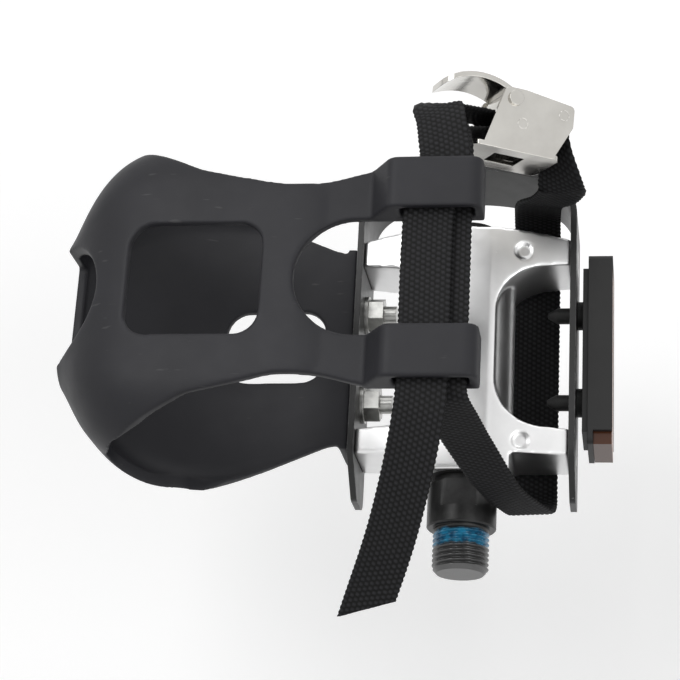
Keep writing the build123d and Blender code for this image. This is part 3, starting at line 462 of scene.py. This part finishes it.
def amber_lens():
    """Amber acrylic with rows of small prisms behind its rear face, painted glints on that face,
    and plain dark edges.
    """
    shader = Shader(
        "amber_lens", Base_Color=(0.3, 0.085, 0.01, 1.0), Roughness=0.2, Specular_IOR_Level=0.35
    )
    prisms = shader.node("ShaderNodeTexVoronoi", Scale=420.0, Randomness=0.08)
    shader.link(shader.coords(), prisms.inputs["Vector"])
    slope = prisms.outputs["Distance"]
    # Painted glints: the rear face is painted bright orange at the prisms' centres, standing in for
    # the light they catch
    glint = shader.ramp(slope, [(0.1, (0.75, 0.24, 0.03)), (0.5, (0.2, 0.05, 0.007))])
    facing = shader.node("ShaderNodeSeparateXYZ")
    shader.link(shader.node("ShaderNodeNewGeometry").outputs["Normal"], facing.inputs[0])
    rear = shader.math("GREATER_THAN", facing.outputs["X"], 0.7)
    shader.feed(shader.mix(rear, (0.07, 0.022, 0.008), glint), "Base Color")
    shader.bump(shader.math("MULTIPLY", slope, rear), depth_mm=0.4, strength=0.5)
    return shader.material


MATERIALS = {
    "black_steel": spindle_steel,
    "bearing_steel": lambda: plain_metal("bearing_steel", grey(0.5), grey(0.62), 0.1, 0.2),
    "zinc_steel": lambda: plain_metal(
        "zinc_steel", (0.33, 0.33, 0.32), (0.48, 0.48, 0.46), 0.22, 0.4, scale=500.0
    ),
    "seal_rubber": lambda: moulded_plastic("seal_rubber", grey(0.01), grey(0.018), 0.6, 0.75),
    "black_plastic": lambda: moulded_plastic(
        "black_plastic", grey(0.011), grey(0.015), 0.42, 0.55
    ),
    "cast_aluminium": cast_aluminium,
    "cage_black": painted_plate,
    "clip_plastic": lambda: moulded_plastic(
        "clip_plastic", (0.010, 0.010, 0.0125), (0.0145, 0.0145, 0.018), 0.48, 0.6
    ),
    "amber_lens": amber_lens,
    "buckle_chrome": lambda: plain_metal(
        "buckle_chrome", (0.5, 0.485, 0.455), (0.62, 0.605, 0.57), 0.08, 0.2,
        scale=60.0, depth_mm=0.4,
    ),
    "webbing": webbing,
}


def dress_nodes():
    """Give every CAD node its slot's material, and return the materials by slot."""
    made = {slot: make() for slot, make in MATERIALS.items()}
    for row in frame["record"]["subparts"]:
        mesh = NODES[row["node"]].data
        mesh.materials.clear()
        mesh.materials.append(made[row["material_slot"]])
    return made


def show(mesh, body, slot, node, crease=180.0):
    """Show a mesh, smooth below the crease angle, as a piece on a body in place of a CAD node."""
    mesh.materials.clear()
    mesh.materials.append(FINISH[slot])
    mesh.polygons.foreach_set("use_smooth", [True] * len(mesh.polygons))
    mesh.set_sharp_from_angle(angle=math.radians(crease))
    piece = bpy.data.objects.new(mesh.name, mesh)
    SCENE.collection.objects.link(piece)
    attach(piece, body)
    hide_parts(node)


def softened(node, name, voxel_mm, rounds, keep):
    """Copy of a CAD node's mesh with rounded edges, as a moulding or a casting has them."""
    copy = bpy.data.objects.new(name, NODES[node].data.copy())
    SCENE.collection.objects.link(copy)
    remesh = copy.modifiers.new("remesh", "REMESH")
    remesh.mode = "VOXEL"
    remesh.voxel_size = voxel_mm * MM
    smooth = copy.modifiers.new("smooth", "SMOOTH")
    smooth.factor = SMOOTH_FACTOR
    smooth.iterations = rounds
    thin = copy.modifiers.new("thin", "DECIMATE")
    thin.ratio = keep
    bpy.context.view_layer.update()
    result = copy.evaluated_get(bpy.context.evaluated_depsgraph_get())
    mesh = bpy.data.meshes.new_from_object(result)
    mesh.name = name
    bpy.data.objects.remove(copy)
    return mesh


def grid_mesh(name, rows):
    """Closed skin over rows of points, each row a ring, with flat ends."""
    size = len(rows[0])
    points = [point for row in rows for point in row]
    faces = []
    for index in range(len(rows) - 1):
        low = index * size
        for side in range(size):
            after = (side + 1) % size
            faces.append((low + side, low + size + side, low + size + after, low + after))
    faces.append(tuple(range(size)))
    faces.append(tuple(reversed(range(len(points) - size, len(points)))))
    mesh = bpy.data.meshes.new(name)
    mesh.from_pydata(points, [], faces)
    mesh.update()
    return mesh


def thread_radius(y, angle):
    """Radius of the right-hand thread at a place along the spindle and an angle round it."""
    wave = abs(2.0 * ((y / THREAD_PITCH + angle / math.tau) % 1.0) - 1.0)
    cut = min(1.0, max(0.0, THREAD_FLANK * (1.0 - wave) - THREAD_CREST))
    fade = min(1.0, max(0.0, -y / THREAD_PITCH))
    chamfer = THREAD_R - THREAD_CHAMFER + y + THREAD_LENGTH
    return min(THREAD_R - THREAD_DEPTH * cut * fade, chamfer)


def spindle_mesh():
    """Spindle as turned rings, with a true thread at the crank end and two wrench flats."""
    steps = int(THREAD_LENGTH / THREAD_STEP)
    thread = [(-THREAD_LENGTH + THREAD_LENGTH * step / steps, None) for step in range(steps + 1)]
    rows = []
    for y, radius in thread + SPINDLE_PROFILE:
        row = []
        for side in range(SPINDLE_SIDES):
            angle = math.tau * side / SPINDLE_SIDES
            reach = thread_radius(y, angle) if radius is None else radius
            if FLAT_START < y <= FLAT_END:
                reach = min(reach, FLAT_ACROSS / 2 / max(abs(math.sin(angle)), FLAT_SINE))
            row.append((reach * math.cos(angle) * MM, y * MM, reach * math.sin(angle) * MM))
        rows.append(row)
    return grid_mesh("spindle_turned", rows)


def in_buckle(along, out):
    """Strap station on the buckle's own centre line."""
    return BUCKLE_AT + BUCKLE_RUN * along + BUCKLE_OUT * out, BUCKLE_ACROSS


def round_bar(bar_x, bar_z, start, end):
    """Strap stations of a wrap round a bar, angles in degrees."""
    for step in range(WRAP_STEPS + 1):
        angle = math.radians(start + (end - start) * step / WRAP_STEPS)
        yield in_buckle(bar_x + WRAP_R * math.cos(angle), bar_z + WRAP_R * math.sin(angle))


def free(x, offset, z, across=(-1.0, 0.0, 0.0)):
    """Strap station off the buckle, given from the pedal's centre plane."""
    return Vector((x, offset, z)), Vector(across)


STRAP_ROUTE = [
    # Fixed end, round the buckle's rear bar and down beside the body
    in_buckle(10.45, 4.9),
    *round_bar(12.8, 7.5, 180, 0),
    free(24.6, 44.5, 35.2, BUCKLE_ACROSS),
    free(24.5, 42.1, 34.6, (-0.61, 0.27, -0.75)),
    free(24.7, 39.9, 33.4, (-0.74, 0.33, -0.58)),
    free(25.0, 38.1, 31.7, (-0.85, 0.33, -0.40)),
    free(25.2, 36.8, 29.6, (-0.94, 0.27, -0.21)),
    free(25.3, 36.1, 27.2, (-0.99, 0.16, -0.03)),
    free(25.2, 35.9, 24.7, (-0.99, 0.0, 0.12)),
    free(22.8, 36.6, 18.8, (-0.96, 0.0, 0.26)),
    free(19.0, 38.4, 12.2, (-0.96, 0.0, 0.26)),
    free(17.9, 40.0, 2.0, (-0.99, 0.0, 0.1)),
    # Under the body and up on the crank side
    free(17.5, 37.6, UNDER_Z + 4.5),
    free(17.4, 33.0, UNDER_Z),
    free(17.4, -31.5, UNDER_Z),
    free(17.4, -37.5, UNDER_Z + 3.5),
    free(16.6, -41.0, 0.5, (-0.95, 0.0, -0.2)),
    free(10.6, -40.0, 16.0, (-0.93, 0.1, -0.3)),
    free(4.6, -34.6, 34.0, (-0.98, 0.0, -0.2)),
    free(1.6, -32.0, 48.0),
    # Through both loops to the buckle and round its front bar
    free(0.2, -30.8, MAIN_Z - 2.6),
    free(-0.2, -28.8, MAIN_Z - 0.3),
    free(-0.2, -26.0, MAIN_Z),
    free(-0.2, 26.0, MAIN_Z),
    free(-0.4, 32.0, MAIN_Z - 0.6),
    free(-1.2, 37.0, MAIN_Z - 2.6, (-0.97, 0.1, -0.2)),
    free(-1.8, 40.6, MAIN_Z - 6.0, (-0.8, 0.3, -0.5)),
    in_buckle(-7.2, 0.85),
    *round_bar(2.0, 3.2, -90, 90),
    in_buckle(-8.5, 5.55),
    # Back through both loops, and the loose tail
    free(-3.2, 45.5, TAIL_Z - 5.1, (-0.85, 0.3, -0.45)),
    free(-2.4, 40.5, TAIL_Z - 1.0, (-0.97, 0.1, -0.2)),
    free(-1.4, 34.0, TAIL_Z),
    free(-1.0, 28.0, TAIL_Z),
    free(-4.3, 14.0, TAIL_Z),
    free(-4.3, -26.0, TAIL_Z),
    free(-5.0, -35.0, TAIL_Z - 1.6, (-0.97, 0.15, 0.0)),
    free(-7.9, -47.5, TAIL_Z - 8.0, (-0.95, 0.28, 0.0)),
    free(-12.4, -60.5, TAIL_Z - 17.5, (-0.95, 0.3, 0.0)),
    free(-18.8, -74.2, TAIL_Z - 29.2, (-0.95, 0.3, 0.0)),
]


def smooth_route():
    """Close (point, across) pairs on a smooth line through the strap's stations."""
    points = [point for point, _ in STRAP_ROUTE]
    runs = [after - before for before, after in zip(points, points[1:])]
    # At a station the longer neighbour sets the direction, so straight runs stay straight
    heads = [runs[0].normalized()]
    heads += [
        (before * before.length + after * after.length).normalized()
        for before, after in zip(runs, runs[1:])
    ]
    heads.append(runs[-1].normalized())
    fine = []
    for index, run in enumerate(runs):
        count = max(PATH_STEPS_LEAST, int(run.length / PATH_STEP))
        for step in range(count):
            t = step / count
            point = (
                points[index] * (2 * t**3 - 3 * t**2 + 1)
                + heads[index] * run.length * (t**3 - 2 * t**2 + t)
                + points[index + 1] * (3 * t**2 - 2 * t**3)
                + heads[index + 1] * run.length * (t**3 - t**2)
            )
            fine.append((point, STRAP_ROUTE[index][1].lerp(STRAP_ROUTE[index + 1][1], t)))
    fine.append(STRAP_ROUTE[-1])
    return fine


def strap_path():
    """Even (point, across) steps along the strap and past its end, and the strap's own count."""
    fine = smooth_route()
    even = [fine[0]]
    gone, wanted = 0.0, STRAP_STEP
    for before, after in zip(fine, fine[1:]):
        length = (after[0] - before[0]).length
        while gone + length >= wanted and length > 0:
            t = (wanted - gone) / length
            even.append((before[0].lerp(after[0], t), before[1].lerp(after[1], t)))
            wanted += STRAP_STEP
        gone += length
    last, across = even[-1]
    stride = last - even[-2][0]
    beyond = int(STRAP_WIDTH / STRAP_STEP)
    return even + [(last + stride * (step + 1), across) for step in range(beyond)], len(even)


def weave(along, across):
    """Height of the woven face, 0 to 1: short raised stitches, staggered from column to column."""
    column = (across / STRAP_WIDTH + 0.5) * WEAVE_COLUMNS
    phase = along / WEAVE_ROW + 0.5 * (int(column) % 2)
    stitch = 0.5 + 0.5 * math.cos(math.tau * phase)
    return stitch * (WEAVE_GROOVE + (1.0 - WEAVE_GROOVE) * abs(math.sin(math.pi * column)))


def strap_mesh():
    """Strap as a ribbon with a woven face, rounded selvedges and a slanted tail."""
    path, count = strap_path()
    sides = []
    for index, (point, across) in enumerate(path):
        before, after = path[max(index - 1, 0)][0], path[min(index + 1, len(path) - 1)][0]
        head = (after - before).normalized()
        square = (across - head * across.dot(head)).normalized()
        sides.append((point, square, head.cross(square)))
    spread = [STRAP_WIDTH * (column / STRAP_COLUMNS - 0.5) for column in range(STRAP_COLUMNS + 1)]
    slope = math.tan(math.radians(TAIL_CUT)) / STRAP_STEP
    tail_rows = TAIL_RUN / STRAP_STEP
    rows = []
    heights = []
    for index in range(count):
        late = max(0.0, 1.0 - (count - 1 - index) / tail_rows)
        front, back, crests = [], [], []
        for offset in spread:
            place = index + slope * offset * late
            low = max(0, min(len(sides) - 2, int(place)))
            point, square, normal = (
                start.lerp(end, place - low) for start, end in zip(sides[low], sides[low + 1])
            )
            along = place * STRAP_STEP
            height = weave(along, offset)
            crests.append(height)
            rim = min(1.0, (STRAP_WIDTH / 2 - abs(offset)) / SELVEDGE)
            thick = (STRAP_T / 2 - WEAVE_DEPTH) * (SELVEDGE_SHARE + (1.0 - SELVEDGE_SHARE) * rim)
            thick += WEAVE_DEPTH * height * rim
            outward = 1 if offset > 0 else -1
            scallop = SCALLOP * math.cos(math.tau * along / WEAVE_ROW) * (1.0 - rim) * outward
            middle = point + square * (offset + scallop)
            front.append(middle + normal * thick)
            back.append(middle - normal * thick)
        rows.append([at(*point) for point in front + back[::-1]])
        heights += crests + crests[::-1]
    mesh = grid_mesh("strap_woven", rows)
    # Weave height, which the webbing material turns into painted shade in the grooves and painted
    # highlights on the stitches
    mesh.attributes.new("crest", "FLOAT", "POINT").data.foreach_set("value", heights)
    return mesh


def add_floor():
    """Pale floor, clear of the pedal at every turn."""
    low, half = FLOOR_Z * MM, FLOOR_HALF * MM
    mesh = bpy.data.meshes.new("floor")
    mesh.from_pydata(
        [(-half, -half, low), (half, -half, low), (half, half, low), (-half, half, low)],
        [],
        [(0, 1, 2, 3)],
    )
    floor = bpy.data.objects.new("floor", mesh)
    SCENE.collection.objects.link(floor)
    shader = Shader(
        "floor", Base_Color=(*grey(FLOOR_TONE), 1.0), Roughness=0.8, Emission_Color=WHITE
    )
    lift = shader.math("MULTIPLY", viewing_rays(shader.tree), FLOOR_LIFT)
    shader.feed(lift, "Emission Strength")
    mesh.materials.append(shader.material)


SCENE.view_settings.view_transform = "Standard"
add_camera()
add_lights()
add_floor()
FINISH = dress_nodes()
clip = softened("toe_clip", "toe_clip_moulded", voxel_mm=0.42, rounds=10, keep=0.5)
show(clip, "pedal", "clip_plastic", "toe_clip")
body = softened("pedal_body", "body_cast", voxel_mm=0.36, rounds=8, keep=0.7)
show(body, "pedal", "cast_aluminium", "pedal_body")
show(spindle_mesh(), "spindle", "black_steel", "spindle", SPINDLE_CREASE)
show(strap_mesh(), "pedal", "webbing", "strap")
